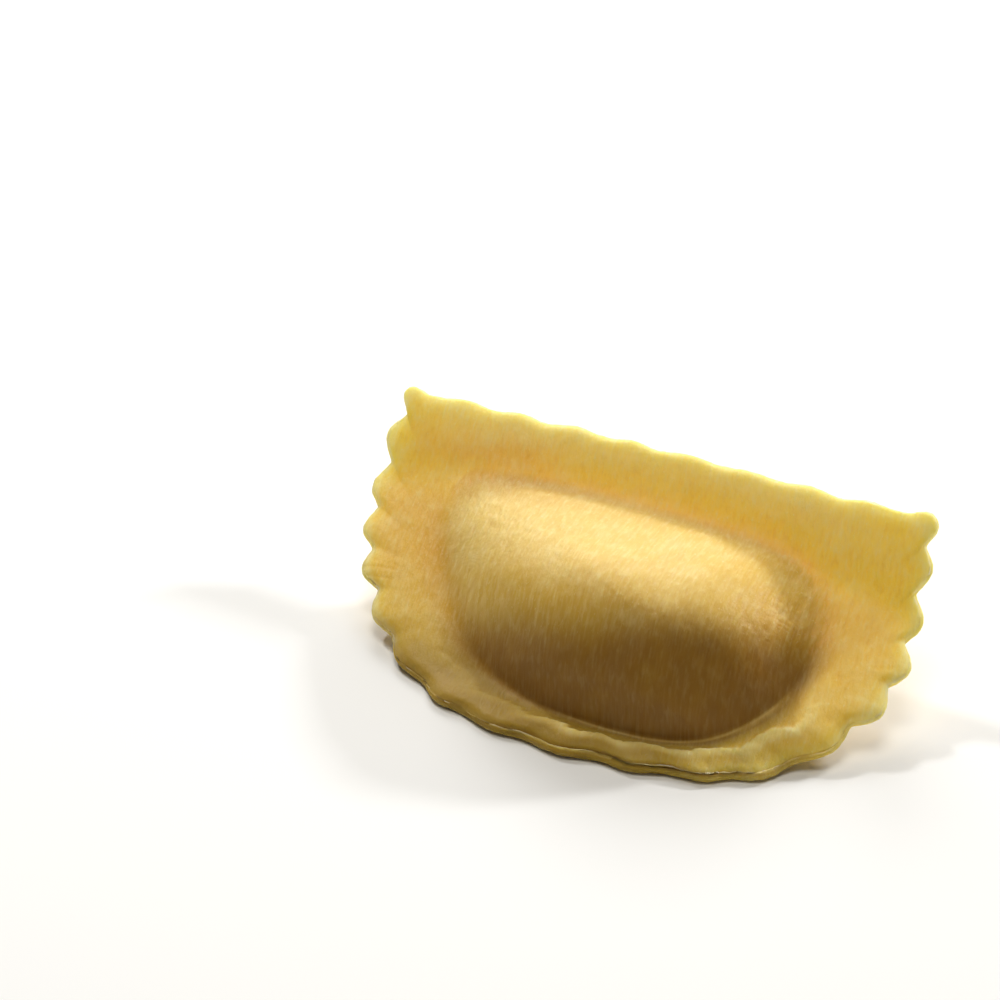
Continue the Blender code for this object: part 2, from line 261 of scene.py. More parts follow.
# The material. A pattern's scale is in lumps to the metre along X and Q, and to the layer.
FIBRE_SCALE = (3000.0, 360.0, 1.0)
CLOUD_SCALE = (260.0, 260.0, 1.0)
SPECK_SCALE = (3600.0, 2200.0, 3.0)
MOTTLE_SCALE = (1700.0, 700.0, 1.0)
DEEP_SHARE = 0.65
CLOUDS_DEEP = 0.5
MOTTLE_AMBER = 0.16
DRY_PALE = 0.55
FIBRES_PALE = 0.14
MOTTLE_PALE = 0.20
CLOUDS_PALE = 0.16
STRETCHED_LESS_PALE = 0.7
FLECK_COLOR = (0.92, 0.82, 0.45)
FLECKS = 0.3
STRETCHED_LESS_FLECKS = 0.28
CLOUDS_ROUGHER = 0.3
DRY_ROUGHER = 0.12
SPECULAR = 0.2
GLOW_REACH = (1.0, 0.88, 0.35)
GLOW_SCALE = 3.2 * MM
BUMP_DEPTH = 0.2 * MM
FIBRES_BUMP = 0.3
SPECKS_BUMP = 0.2
MOTTLE_BUMP = 0.5
TABLE_ROUGHNESS = 0.6

# The bend, as slopes of the sheet in degrees from the table.
FRONT_SLOPE = 2.2
POCKET_SLOPE = 24.5
RIM_TWIST = -6.5
TIP_CURL = -4.5
RIM_FOLD_MIDDLE = 8.5 * MM
RIM_FOLD_SIDE = 11.5 * MM
RIM_FOLD_WIDTH = 4.5 * MM
FRONT_REST = 3.0 * MM
FRONT_BEND = 6.0 * MM
SIDE_SAG = 1.25 * MM
CONTACT_BLEND = 0.3 * MM
BEND_STEPS = 90

# The mesh.
EDGE_POINTS = 2000
LOBE_POINTS = 24
RELAX_ROUNDS = 400
CUT_ROWS = 7
BORDER_RINGS = tuple(number / 27 for number in range(1, 26)) + (0.955, 0.98, 1.0)
NEARLY = 1e-6
TINY = 1e-9  # keeps a length that is divided by from being 0
SHEETS_APART = 10 * MM  # while their points are evened out

# The stage.
TABLE_SIZE = 3.0
CAMERA_TARGET = Vector((-1.11, 1.61, 6.0)) * MM
CAMERA_AZIMUTH = math.radians(25.5)
CAMERA_ELEVATION = math.radians(36)
CAMERA_DISTANCE = 340 * MM
CAMERA_SENSOR = 36
CAMERA_LENS = 102.6
CAMERA_SHIFT = (-0.102, 0.110)
LIGHT_DISTANCE = 0.8
WARM = (1.0, 0.95, 0.84)


# ---- sizes and colours that a user would change

class MoonSizes(bpy.types.PropertyGroup):
    """The flat half moon of dough and its fluted edge"""

    length: FloatProperty(
        name="Length", description="Along the straight edge, from ear to ear",
        default=70 * MM, min=0.03, max=0.2, unit="LENGTH", precision=4)
    depth: FloatProperty(
        name="Depth", description="From the straight edge to the front of the curved one, laid flat",
        default=42.5 * MM, min=0.02, max=0.12, unit="LENGTH", precision=4)
    dough: FloatProperty(
        name="Dough", description="Thickness of both sheets pressed together",
        default=1.7 * MM, min=0.0005, max=0.005, unit="LENGTH", precision=5)
    curved_lobes: IntProperty(
        name="Curved lobes", description="Flutes round the curved edge", default=18, min=8, max=40)
    straight_lobes: IntProperty(
        name="Straight lobes", description="Flutes along the straight edge", default=9, min=4, max=20)
    lobe: FloatProperty(
        name="Lobe", description="How far a flute of the curved edge stands out, crest from middle",
        default=0.73 * MM, min=0, max=0.002, unit="LENGTH", precision=5)
    front_lobe: FloatProperty(
        name="Front lobe", description="The same along the front, where the flutes are soft waves",
        default=0.34 * MM, min=0, max=0.002, unit="LENGTH", precision=5)
    straight_lobe: FloatProperty(
        name="Straight lobe", description="The same for the straight edge",
        default=0.20 * MM, min=0, max=0.002, unit="LENGTH", precision=5)
    rim_slope: FloatProperty(
        name="Rim slope", description="How steeply the straight rim is turned up",
        default=math.radians(52.5), min=0, max=math.radians(80), subtype="ANGLE")


class PocketSizes(bpy.types.PropertyGroup):
    """The pocket of filling between the two sheets"""

    half_length: FloatProperty(
        name="Half length", description="From the pocket's middle to its end",
        default=22.4 * MM, min=0.01, max=0.06, unit="LENGTH", precision=4)
    back: FloatProperty(
        name="Back", description="From the top of the pocket to its foot by the rim",
        default=18.3 * MM, min=0.005, max=0.05, unit="LENGTH", precision=4)
    front: FloatProperty(
        name="Front", description="From the top of the pocket to its foot at the front",
        default=13 * MM, min=0.005, max=0.05, unit="LENGTH", precision=4)
    dome: FloatProperty(
        name="Dome", description="Height of the filling over the sheet",
        default=8.4 * MM, min=0.002, max=0.03, unit="LENGTH", precision=4)
    belly: FloatProperty(
        name="Belly", description="Depth of the filling under the sheet",
        default=7 * MM, min=0.0, max=0.02, unit="LENGTH", precision=4)


class DoughFinish(bpy.types.PropertyGroup):
    """Colours and surface of the raw dough"""

    gold: FloatVectorProperty(
        name="Gold", description="Dough over the filling",
        default=(0.73, 0.47, 0.085), min=0, max=1, subtype="COLOR")
    # Thin's brighter colour partly paints the glow of light shining through the thin rim.
    thin: FloatVectorProperty(
        name="Thin", description="Dough of the rim, which lets light through",
        default=(0.97, 0.69, 0.11), min=0, max=1, subtype="COLOR")
    # Pale is the colour of dry floury places and also of painted highlights and glow.
    pale: FloatVectorProperty(
        name="Pale", description="Dry and floury places",
        default=(0.905, 0.75, 0.345), min=0, max=1, subtype="COLOR")
    # Amber also paints shade round the pocket's foot, on its right end and at its back.
    amber: FloatVectorProperty(
        name="Amber", description="Dough that begins to let the filling show",
        default=(0.66, 0.36, 0.05), min=0, max=1, subtype="COLOR")
    # Shaded is painted shadow of the pocket on the front of the border.
    shaded: FloatVectorProperty(
        name="Shaded", description="The front of the border, which the pocket keeps dark",
        default=(0.38, 0.235, 0.03), min=0, max=1, subtype="COLOR")
    # Deep is partly the filling showing through and partly painted shade of the pocket's front wall.
    deep_and_painted_shade: FloatVectorProperty(
        name="Deep", description="Stretched dough that lets the filling show",
        default=(0.28, 0.125, 0.012), min=0, max=1, subtype="COLOR")
    roughness: FloatProperty(
        name="Roughness", description="Of the dough's smooth places",
        default=0.47, min=0, max=1, subtype="FACTOR")
    glow: FloatProperty(
        name="Glow", description="How much light travels inside the dough",
        default=0.75, min=0, max=1, subtype="FACTOR")
    relief: FloatProperty(
        name="Relief", description="Strength of the lumps, wrinkles and streaks",
        default=1.0, min=0, max=3)


class StageSettings(bpy.types.PropertyGroup):
    """Table, lights and camera"""

    table_color: FloatVectorProperty(
        name="Table", description="Colour of the pale table",
        default=(0.90, 0.90, 0.895), min=0, max=1, subtype="COLOR")
    key_watts: FloatProperty(
        name="Key light", description="Power of the soft light behind the parcel",
        default=3.2, min=0, max=100)
    left_watts: FloatProperty(
        name="Left light", description="Power of the small light behind the left ear",
        default=2.0, min=0, max=100)
    right_watts: FloatProperty(
        name="Right light", description="Power of the small light behind the right ear",
        default=3.2, min=0, max=100)
    top_watts: FloatProperty(
        name="Top light", description="Power of the soft light overhead", default=2.2, min=0, max=100)
    ambient: FloatProperty(
        name="Ambient", description="Brightness of the room", default=0.10, min=0, max=5)


# ---- small helpers

def smooth_step(low, high, value):
    share = np.clip((value - low) / (high - low), 0, 1)
    return share * share * (3 - 2 * share)


def bump(value, middle, width):
    return np.exp(-(((value - middle) / width) ** 2))


def signed_power(value, power):
    return np.sign(value) * np.abs(value) ** power


def mesh_points(mesh):
    points = np.empty(len(mesh.vertices) * 3, np.float32)
    mesh.vertices.foreach_get("co", points)
    return points.reshape(-1, 3).astype(np.float64)


def set_mesh_points(mesh, points):
    mesh.vertices.foreach_set("co", points.astype(np.float32).ravel())
    mesh.update()


def mesh_normals(mesh):
    normals = np.empty(len(mesh.vertices) * 3, np.float32)
    mesh.vertex_normals.foreach_get("vector", normals)
    return normals.reshape(-1, 3).astype(np.float64)


def store(mesh, name, *columns):
    """Keeps three values for each point, for the material to read."""
    values = np.stack([np.broadcast_to(column, len(mesh.vertices)) for column in columns], axis=1)
    attribute = mesh.attributes.new(name, "FLOAT_VECTOR", "POINT")
    attribute.data.foreach_set("vector", values.astype(np.float32).ravel())


def grain(points, size, seed):
    """Smooth noise from -1 to 1 at those points, whose lumps are about that size."""
    offset = Vector((seed * 17.3, seed * 5.1, seed * 9.7))
    return np.array([noise.noise(Vector(point) + offset) for point in points / size])


# ---- the flat half moon

def curved_edge(moon):
    """The curved edge from the left ear to the right one, as a fine run of points."""
    angle = np.linspace(0, math.pi, EDGE_POINTS)
    x = -moon.length / 2 * signed_power(np.cos(angle), CORNER_POWER)
    share = np.sin(angle) ** FRONT_POWER
    x += SIDE_FULLNESS * np.sin(math.pi * share) * np.sign(x) * (1 - share**6)
    return x, moon.depth * share


def sharp_edge(moon, lobe):
    """The outline without flutes, where lobe counts round it from the left ear."""
    x, q = curved_edge(moon)
    run = np.concatenate([[0], np.cumsum(np.hypot(np.diff(x), np.diff(q)))])
    curved, straight = moon.curved_lobes, moon.straight_lobes
    lobe = lobe % (curved + straight)
    even = np.clip(lobe, 0, curved)
    drift = sum(by * bump(even, at, spread) for at, by, spread in SHIFTS)
    drift *= np.sin(math.pi * even / curved) ** 0.5
    drift -= LOBE_DRIFT * np.sin(2 * math.pi * even / curved)
    along = (even + drift) / curved * run[-1]
    back = np.clip((lobe - curved) / straight, 0, 1)
    back_x = moon.length / 2 * (1 - 2 * back)
    back_q = HOLLOW * (1 - np.abs(1 - 2 * back) ** 3)
    on_curve = lobe <= curved
    return (
        np.where(on_curve, np.interp(along, run, x), back_x),
        np.where(on_curve, np.interp(along, run, q), back_q),
    )


def plain_edge(moon, lobe):
    """The same outline with its two ears rounded off."""
    rounding = EAR_ROUNDING * np.linspace(-1, 1, 5)
    places = [sharp_edge(moon, lobe + shift) for shift in rounding]
    return sum(x for x, _ in places) / len(places), sum(q for _, q in places) / len(places)


def near_lobe(moon, lobe, middle, spread):
    """1 at the middle lobe, falling to 0 on both sides of it, round the whole outline."""
    lobes = moon.curved_lobes + moon.straight_lobes
    apart = (lobe - middle) % lobes
    return bump(np.minimum(apart, lobes - apart), 0, spread)


def straight_share(moon, lobe):
    """1 along the straight edge, 0 along the curved one."""
    past = lobe - moon.curved_lobes
    return smooth_step(0, 0.6, past) * smooth_step(0, 0.6, moon.straight_lobes - past)


def front_share(lobe):
    """1 along the front of the curved edge, 0 round its two sides."""
    return smooth_step(*FRONT_START, lobe) * (1 - smooth_step(*FRONT_END, lobe))


def lobe_wave(moon, lobe):
    """The flutes' height over the plain outline: most on a crest, least in a notch."""
    front, straight = front_share(lobe), straight_share(moon, lobe)
    roundness = LOBE_ROUNDNESS + (WAVE_ROUNDNESS - LOBE_ROUNDNESS) * (front + straight)
    height = moon.lobe + (moon.front_lobe - moon.lobe) * front
    height += (moon.straight_lobe - moon.lobe) * straight
    return height * (2 * np.abs(np.cos(math.pi * lobe)) ** roundness - 1)


def outward(moon, lobe):
    """The flat direction straight out of the half moon at that place on its edge."""
    ahead_x, ahead_q = plain_edge(moon, lobe + 0.3)
    behind_x, behind_q = plain_edge(moon, lobe - 0.3)
    size = np.hypot(ahead_x - behind_x, ahead_q - behind_q)
    return (behind_q - ahead_q) / size, (ahead_x - behind_x) / size


def flute_reach(moon, lobe):
    """How far the edge's flutes, ears and uneven places lie outside the plain outline."""
    ears = near_lobe(moon, lobe, 0, EAR_SPREAD) + near_lobe(moon, lobe, moon.curved_lobes, EAR_SPREAD)
    strays = sum(by * near_lobe(moon, lobe, at, spread) for at, by, spread in STRAYS)
    return lobe_wave(moon, lobe) + EAR * ears + strays


# ---- the pocket

def pocket_foot(pocket, toward_x, toward_q):
    """Where the pocket's outline lies in that direction from its middle."""
    reach = np.where(toward_q > 0, pocket.front, pocket.back)
    across = np.abs(toward_x / pocket.half_length) ** (BACK_POWER / 2)
    along = np.abs(toward_q / reach) ** (CROSS_POWER / 2)
    size = np.hypot(across, along)
    q = POCKET_Q + reach * np.sign(toward_q) * (along / size) ** (2 / CROSS_POWER)
    middle, half, power = pocket_row(pocket, q)
    return middle + half * (across / size) ** (2 / power) * np.sign(toward_x), q


def pocket_row(pocket, q):
    """The pocket's middle, half length and squareness at that distance from the straight edge."""
    middle = POCKET_X + POCKET_LEAN * (q - POCKET_Q)
    half = pocket.half_length - POCKET_NARROWING * (q - POCKET_Q)
    front = smooth_step(POCKET_Q - pocket.back / 2, POCKET_Q + pocket.front / 2, q)
    return middle, half, BACK_POWER + (FRONT_ROUND - BACK_POWER) * front


def pocket_level(pocket, x, q):
    """0 in the pocket's middle, 1 on its foot and more outside it."""
    middle, half, power = pocket_row(pocket, q)
    reach = np.where(q > POCKET_Q, pocket.front, pocket.back)
    return np.abs((x - middle) / half) ** power + np.abs((q - POCKET_Q) / reach) ** CROSS_POWER


def front_wall_share(x, q):
    """1 towards the pocket's steep front wall, 0 towards its gentle back."""
    out_x, out_q = x - POCKET_X, q - POCKET_Q
    size = np.maximum(np.hypot(out_x, out_q), TINY)
    return np.clip((1 + (out_q + WALL_LEAN * out_x) / size) / 2, 0, 1)


def dome_height(pocket, x, q):
    front = front_wall_share(x, q)
    foot = BACK_FOOT + (FRONT_FOOT - BACK_FOOT) * front
    inside = 1 - pocket_level(pocket, x, q)
    inside = (inside + np.sqrt(inside**2 + foot**2)) / (1 + np.sqrt(1 + foot**2))
    height = pocket.dome * inside ** (BACK_WALL + (FRONT_WALL - BACK_WALL) * front)
    for lump_x, lump_q, lump, radius in LUMPS:
        height += lump * bump(np.hypot(x - lump_x, q - lump_q), 0, radius) * inside
    return height


def belly_depth(pocket, x, q):
    return pocket.belly * (1 - np.minimum(pocket_level(pocket, x, q), 1)) ** BELLY_WALL


def pressed_share(lobe):
    """1 where the front of the border was pressed down hard, 0 away from there."""
    start, whole, fade, end = PRESSED_LOBES
    return smooth_step(start, whole, lobe) * (1 - smooth_step(fade, end, lobe))


def border_relief(lobe, border):
    """The press line at the pocket's foot, the ridge along the front and the rounded edge."""
    relief = RIDGE * bump(border, RIDGE_AT, RIDGE_WIDTH)
    relief -= PRESS_LINE * bump(border, PRESS_AT, PRESS_WIDTH)
    return pressed_share(lobe) * relief - TOP_ROUNDING * border**ROUNDING_POWER


def flute_crests(lobe):
    """1 on the crest of each flute, -1 in each notch."""
    return np.cos(2 * math.pi * lobe)


def flute_lift(moon, lobe, border):
    height = FLUTE_HEIGHT * (1 - straight_share(moon, lobe))
    return height * flute_crests(lobe) * smooth_step(FLUTE_START, 1, border)


# ---- the bend

def slope(moon, x, q):
    """The sheet's slope in radians at a flat point: low at the front, steep past the fold."""
    side = x / (moon.length / 2)
    fold = RIM_FOLD_MIDDLE + (RIM_FOLD_SIDE - RIM_FOLD_MIDDLE) * side**2
    rim = math.degrees(moon.rim_slope) - RIM_TWIST * side
    past = smooth_step(-RIM_FOLD_WIDTH / 2, RIM_FOLD_WIDTH / 2, fold - q)
    curl = TIP_CURL * np.clip((fold - q) / fold, 0, 1)
    degrees = POCKET_SLOPE + (rim - POCKET_SLOPE) * past + curl * past
    front = smooth_step(moon.depth - FRONT_REST - FRONT_BEND, moon.depth - FRONT_REST, q)
    return np.radians(degrees + (FRONT_SLOPE - degrees) * front)


def bent_sheet(moon, x, q):
    """World Y and Z of the sheet's middle, and its slope, summed up from the front to the point."""
    step = (moon.depth - q) / BEND_STEPS
    y = np.zeros_like(q)
    z = np.zeros_like(q)
    for number in range(BEND_STEPS):
        here = slope(moon, x, moon.depth - step * (number + 0.5))
        y += np.cos(here) * step
        z += np.sin(here) * step
    z += moon.dough / 2 - SIDE_SAG * (x / (moon.length / 2)) ** 2
    over = z - moon.dough / 2
    z = moon.dough / 2 + (over + np.sqrt(over**2 + CONTACT_BLEND**2)) / 2
    return y, z, slope(moon, x, q)


# ---- the two sheets, modelled as squares whose rings become the pocket, the border and the cut edge

def deselect_everything():
    for obj in bpy.context.view_layer.objects:
        obj.select_set(False)


def square_sheets(moon):
    """Two square sheets one over the other, joined round their rim."""
    deselect_everything()
    across = moon.curved_lobes * LOBE_POINTS // 2
    bpy.ops.mesh.primitive_grid_add(x_subdivisions=across, y_subdivisions=across // 2, size=2)
    parcel = bpy.context.object
    parcel.name = parcel.data.name = PIECE
    bpy.ops.object.mode_set(mode="EDIT")
    bpy.ops.mesh.select_all(action="SELECT")
    bpy.ops.mesh.region_to_loop()
    ring = 1.0
    for share in BORDER_RINGS:
        grow = (1 + share) / ring
        bpy.ops.mesh.extrude_edges_move()
        bpy.ops.transform.resize(value=(grow, grow, 1))
        ring = 1 + share
    bpy.ops.mesh.select_all(action="SELECT")
    bpy.ops.transform.translate(value=(0, 0, 1))
    bpy.ops.mesh.duplicate_move(TRANSFORM_OT_translate={"value": (0, 0, -2)})
    bpy.ops.mesh.flip_normals()
    bpy.ops.mesh.select_mode(type="EDGE")
    bpy.ops.mesh.select_all(action="DESELECT")
    bpy.ops.mesh.select_non_manifold()
    bpy.ops.mesh.bridge_edge_loops(number_cuts=CUT_ROWS, interpolation="LINEAR")
    bpy.ops.mesh.select_all(action="SELECT")
    bpy.ops.mesh.normals_make_consistent(inside=False)
    bpy.ops.object.mode_set(mode="OBJECT")
    return parcel


def lobe_at(moon, a, b):
    """The place round the edge, in lobes, that a point on the rim of the unit square stands for."""
    side = moon.curved_lobes / 4
    left = side * (1 - b) / 2
    front = side + 2 * side * (a + 1) / 2
    right = 3 * side + side * (b + 1) / 2
    back = moon.curved_lobes + moon.straight_lobes * (1 - a) / 2
    near = 1 - NEARLY
    return np.where(a <= -near, left, np.where(b <= -near, front, np.where(a >= near, right, back)))


def cut_face(lobe, layer):
    """How far the cut edge stands out between its corners, with the seam and the ragged lip."""
    along = np.stack([lobe, layer * FACE_LOBES, np.zeros_like(lobe)], axis=1)
    seam = SEAM_AT + SEAM_SWAY * grain(along, size=1.3, seed=21)
    face = CUT_BULGE * (1 - layer**2) - SEAM * bump(layer, seam, SEAM_WIDTH)
    teeth = grain(along, size=0.21, seed=22) + RAGGED_FINE * grain(along, size=0.09, seed=23)
    return face + RAGGED * teeth


def uneven_cut(moon, lobe):
    """How far the cut strays from its even flutes, except at the left ear, where the count starts."""
    round_edge = np.stack([lobe / UNEVEN_LOBES, np.zeros_like(lobe), np.zeros_like(lobe)], axis=1)
    return UNEVEN * grain(round_edge, size=1.0, seed=25) * (1 - near_lobe(moon, lobe, middle=0, spread=0.3))


def lay_out(moon, pocket, a, b, layer):
    """Flat place (x, q) of each template point, its lobe and its share of the border."""
    ring = np.maximum(np.maximum(np.abs(a), np.abs(b)), TINY)
    lobe = lobe_at(moon, a / ring, b / ring)
    plain_x, plain_q = plain_edge(moon, lobe)
    out_x, out_q = outward(moon, lobe)
    foot_x, foot_q = pocket_foot(pocket, plain_x - POCKET_X, plain_q - POCKET_Q)
    border = np.clip(ring - 1, 0, 1)
    reach = (flute_reach(moon, lobe) + uneven_cut(moon, lobe)) * border**3
    reach += np.where(border >= 1 - NEARLY, cut_face(lobe, layer), 0)
    x = foot_x + (plain_x - foot_x) * border + out_x * reach
    q = foot_q + (plain_q - foot_q) * border + out_q * reach
    inside = np.minimum(ring, 1)
    x = POCKET_X + (x - POCKET_X) * inside
    q = POCKET_Q + (q - POCKET_Q) * inside
    return x, q, lobe, border


def smoothed_flat(parcel, x, q, layer, free):
    """The flat places after the pocket's points have been evened out by Smooth Vertices."""
    mesh = parcel.data
    set_mesh_points(mesh, np.stack([x, q, layer * SHEETS_APART], axis=1))
    bpy.ops.object.mode_set(mode="EDIT")
    bpy.ops.mesh.select_mode(type="VERT")
    bpy.ops.mesh.select_all(action="DESELECT")
    bpy.ops.object.mode_set(mode="OBJECT")
    mesh.vertices.foreach_set("select", free)
    bpy.ops.object.mode_set(mode="EDIT")
    bpy.ops.mesh.vertices_smooth(factor=1.0, repeat=RELAX_ROUNDS, zaxis=False)
    bpy.ops.object.mode_set(mode="OBJECT")
    flat = mesh_points(mesh)
    return flat[:, 0], flat[:, 1]


def shape_parcel(parcel, moon, pocket):
    """Bends the flat half moon and raises its pocket. Returns where each point lies in it."""
    mesh = parcel.data
    a, b, layer = mesh_points(mesh).T
    ring = np.maximum(np.abs(a), np.abs(b))
    x, q, lobe, border = lay_out(moon, pocket, a, b, layer)
    x, q = smoothed_flat(parcel, x, q, layer, ring < 1 - NEARLY)
    top = moon.dough / 2 + dome_height(pocket, x, q) + border_relief(lobe, border)
    below = moon.dough / 2 + belly_depth(pocket, x, q) - BELOW_ROUNDING * border**ROUNDING_POWER
    height = np.where(layer > 0, layer * top, layer * below) + flute_lift(moon, lobe, border)
    x_bent = x + LEAN * q
    y, z, tilt = bent_sheet(moon, x_bent, q)
    points = np.stack([x_bent, y - np.sin(tilt) * height, z + np.cos(tilt) * height], axis=1)
    points[:, 2] = np.maximum(points[:, 2], 0)
    points[:, :2] -= ((points.min(axis=0) + points.max(axis=0)) / 2)[:2]
    set_mesh_points(mesh, points)
    return {"x": x, "q": q, "layer": layer, "lobe": lobe, "border": border}


# ---- the relief of raw dough, as heights in metres over the smooth surface

def drawn_out(place, across, along, seed):
    """Noise drawn out along Q, the way the dough was rolled and is stretched."""
    flat = np.stack([place["x"] / across, place["q"] / along, place["layer"]], axis=1)
    return grain(flat, 1.0, seed)


def radial(place, lobes, shares, seed):
    """Noise round the border, drawn out from the pocket's foot to the edge."""
    ring = np.stack([place["lobe"] / lobes, place["border"] / shares, place["layer"]], axis=1)
    return grain(ring, 1.0, seed)


def creases(noise_values, sharpness):
    """Thin lines from 0 to 1 where smooth noise crosses zero."""
    return (1 - np.minimum(np.abs(noise_values) * CREASE_NARROWNESS, 1)) ** sharpness


def filling_lumps(place):
    """The filling that shows through the stretched dough of the pocket."""
    lumps = FILLING_LUMP * drawn_out(place, across=5.5 * MM, along=6.5 * MM, seed=1)
    lumps += FILLING_CRUMB * drawn_out(place, across=1.9 * MM, along=2.3 * MM, seed=2)
    return lumps * smooth_step(0.0, 0.5, place["inside"])


def streaks(place):
    """Long shallow lines along Q and a fine mottling, over the whole parcel."""
    broad = BROAD_STREAK * drawn_out(place, across=1.3 * MM, along=8 * MM, seed=3)
    fine = FINE_STREAK * drawn_out(place, across=0.5 * MM, along=3 * MM, seed=4)
    return broad + fine + MOTTLE * drawn_out(place, across=0.5 * MM, along=0.8 * MM, seed=18)


def crest_wrinkles(place):
    """Wrinkles along the top of the pocket, where the two slopes of dough meet."""
    wander = WRINKLE_WANDER * drawn_out(place, across=6 * MM, along=6 * MM, seed=5)
    crest = bump(place["q"] + wander, WRINKLE_Q, WRINKLE_SPREAD) * smooth_step(0.05, 0.4, place["inside"])
    lines = creases(drawn_out(place, across=3.4 * MM, along=0.75 * MM, seed=6), sharpness=3)
    patches = smooth_step(-0.25, 0.3, drawn_out(place, across=5 * MM, along=3 * MM, seed=7))
    return -WRINKLE * crest * lines * patches


def shoulder_wrinkles(place):
    """Wrinkles that run down the two ends of the pocket."""
    ends = smooth_step(0.45, 0.8, np.abs(place["x"] - POCKET_X) / place["half"])
    ends = ends * smooth_step(0, 0.2, place["inside"])
    return -WRINKLE * ends * creases(drawn_out(place, across=0.8 * MM, along=4.5 * MM, seed=8), sharpness=3)


def lobe_pillows(place, curved):
    """The soft swelling of each flute, and the top's roll over to the cut edge."""
    lobe, border = place["lobe"], place["border"]
    around = smooth_step(0.0, 0.6, lobe) * smooth_step(0.0, 0.6, curved - lobe)
    right = smooth_step(*RIGHT_SIDE, lobe / curved)
    sides = around * (1 - FRONT_LESS_PILLOW * front_share(lobe)) * (1 - RIGHT_LESS_PILLOW * right)
    swelling = np.abs(np.cos(math.pi * lobe)) ** 1.2 - 0.6
    outer = smooth_step(PILLOW_START, PILLOW_WHOLE, border)
    roll = EDGE_ROLL * smooth_step(EDGE_ROLL_START, 1.0, border) ** 2 * (1 - RIGHT_LESS_ROLL * right)
    less_lift = RIGHT_LESS_LIFT * right * FLUTE_HEIGHT * flute_crests(lobe)
    less_lift = less_lift * smooth_step(FLUTE_START, 1.0, border)
    return PILLOW * sides * swelling * outer - (roll + less_lift) * around * place["top"]


def border_waves(place):
    """The uneven pressed border: shallow dents, ripples on the flutes and small cracks at the edge."""
    outside = smooth_step(0.0, 0.25, place["border"])
    outer = smooth_step(0.45, 0.95, place["border"])
    dents = BORDER_DENT * drawn_out(place, across=2.6 * MM, along=2.6 * MM, seed=9)
    ripples = BORDER_RIPPLE * radial(place, lobes=0.16, shares=0.9, seed=10)
    cracked = smooth_step(0.1, 0.4, radial(place, lobes=1.4, shares=3.0, seed=11))
    cracks = EDGE_CRACK * cracked * creases(radial(place, lobes=0.28, shares=1.6, seed=12), sharpness=9)
    return outside * dents + outer * (ripples - cracks)


def crinkled_fold(place):
    """1 on the crinkled fold along the front, whose inner side is ragged, 0 away from it."""
    lobe, border = place["lobe"], place["border"]
    sway = CRINKLE_SWAY * (radial(place, lobes=0.9, shares=9.0, seed=13) - flute_crests(lobe))
    teeth = CRINKLE_TEETH * radial(place, lobes=0.13, shares=9.0, seed=14)
    teeth += CRINKLE_FINE_TEETH * radial(place, lobes=0.06, shares=9.0, seed=19)
    torn = TORN * smooth_step(*TORN_LOBES, lobe) * (1 - smooth_step(*PRESSED_LOBES[:2], lobe))
    inner = smooth_step(*CRINKLE_RISES, border + sway + teeth)
    outer = smooth_step(*CRINKLE_FALLS, border + sway)
    return (pressed_share(lobe) + torn) * inner * outer * place["top"]


def foot_lip(place):
    """1 on the thin lip that the press left along the front of the pocket's foot."""
    at = LIP_AT + LIP_SWAY * radial(place, lobes=0.7, shares=9.0, seed=24)
    return pressed_share(place["lobe"]) * bump(place["border"], at, LIP_WIDTH) * place["top"]


def pressed_front(place):
    """The front of the border: a thin lip, a recess, the fold and its roll over to the edge."""
    recess = RECESS * bump(place["border"], RECESS_AT, RECESS_WIDTH)
    roll = FRONT_ROLL * smooth_step(FRONT_ROLL_START, 1.0, place["border"]) ** 1.5
    pinches = creases(radial(place, lobes=0.35, shares=0.5, seed=20), sharpness=4)
    fold = CRINKLE * place["fold"] * (1 - PINCH * pinches)
    return LIP * place["lip"] + fold - pressed_share(place["lobe"]) * (recess + roll) * place["top"]


def pits(place):
    """Small pits all over."""
    return -PIT * smooth_step(0.3, 0.6, drawn_out(place, across=0.8 * MM, along=0.9 * MM, seed=15))


def add_marks(place, pocket):
    """Adds what else the relief and the tints ask about each point."""
    place["top"] = place["layer"] > 0
    place["cut"] = place["border"] >= 1 - NEARLY
    place["inside"] = 1 - np.minimum(pocket_level(pocket, place["x"], place["q"]), 1)
    place["half"] = pocket_row(pocket, place["q"])[1]
    place["fold"] = crinkled_fold(place)
    place["lip"] = foot_lip(place)


def dough_relief(parcel, moon, place, strength):
    """Raises the lumps, streaks, wrinkles and cracks along the normals, and returns the fine ones."""
    mesh = parcel.data
    wrinkles = crest_wrinkles(place) + shoulder_wrinkles(place)
    border = border_waves(place) + pressed_front(place)
    fine = streaks(place) + pits(place) + wrinkles + border
    side = np.where(place["top"], 1.0, UNDERSIDE_RELIEF)
    height = strength * side * (fine + filling_lumps(place) + lobe_pillows(place, moon.curved_lobes))
    points = mesh_points(mesh) + mesh_normals(mesh) * height[:, None]
    points[:, 2] = np.maximum(points[:, 2], 0)
    set_mesh_points(mesh, points)
    return fine


# ---- where the material paints glow, shade, shadow and highlights, besides where the dough is thin, stretched or dry

def foot_reach(x):
    """How far over the border the painted shade of the pocket's foot runs; it runs farther on the left."""
    return FOOT_REACH + FOOT_REACH_LEFT * smooth_step(*FOOT_LEFT_X, x)


def thin_dough_and_painted_glow(place):
    """1 on the rim and near the cut edge, whose thin dough lets light through and whose brighter colour
    paints that glow, 0 on the pocket.
    """
    bare = smooth_step(0.25, 0.0, place["inside"])
    rim = RIM_PAINTED_GLOW * smooth_step(*THIN_RIM_Q, place["q"])
    edge = EDGE_PAINTED_GLOW * smooth_step(0.6, 1.0, place["border"])
    right = THIN_RIGHT * smooth_step(*THIN_RIGHT_X, place["x"])
    return bare * np.clip(THIN_SHEET + rim + edge + right, 0, 1)


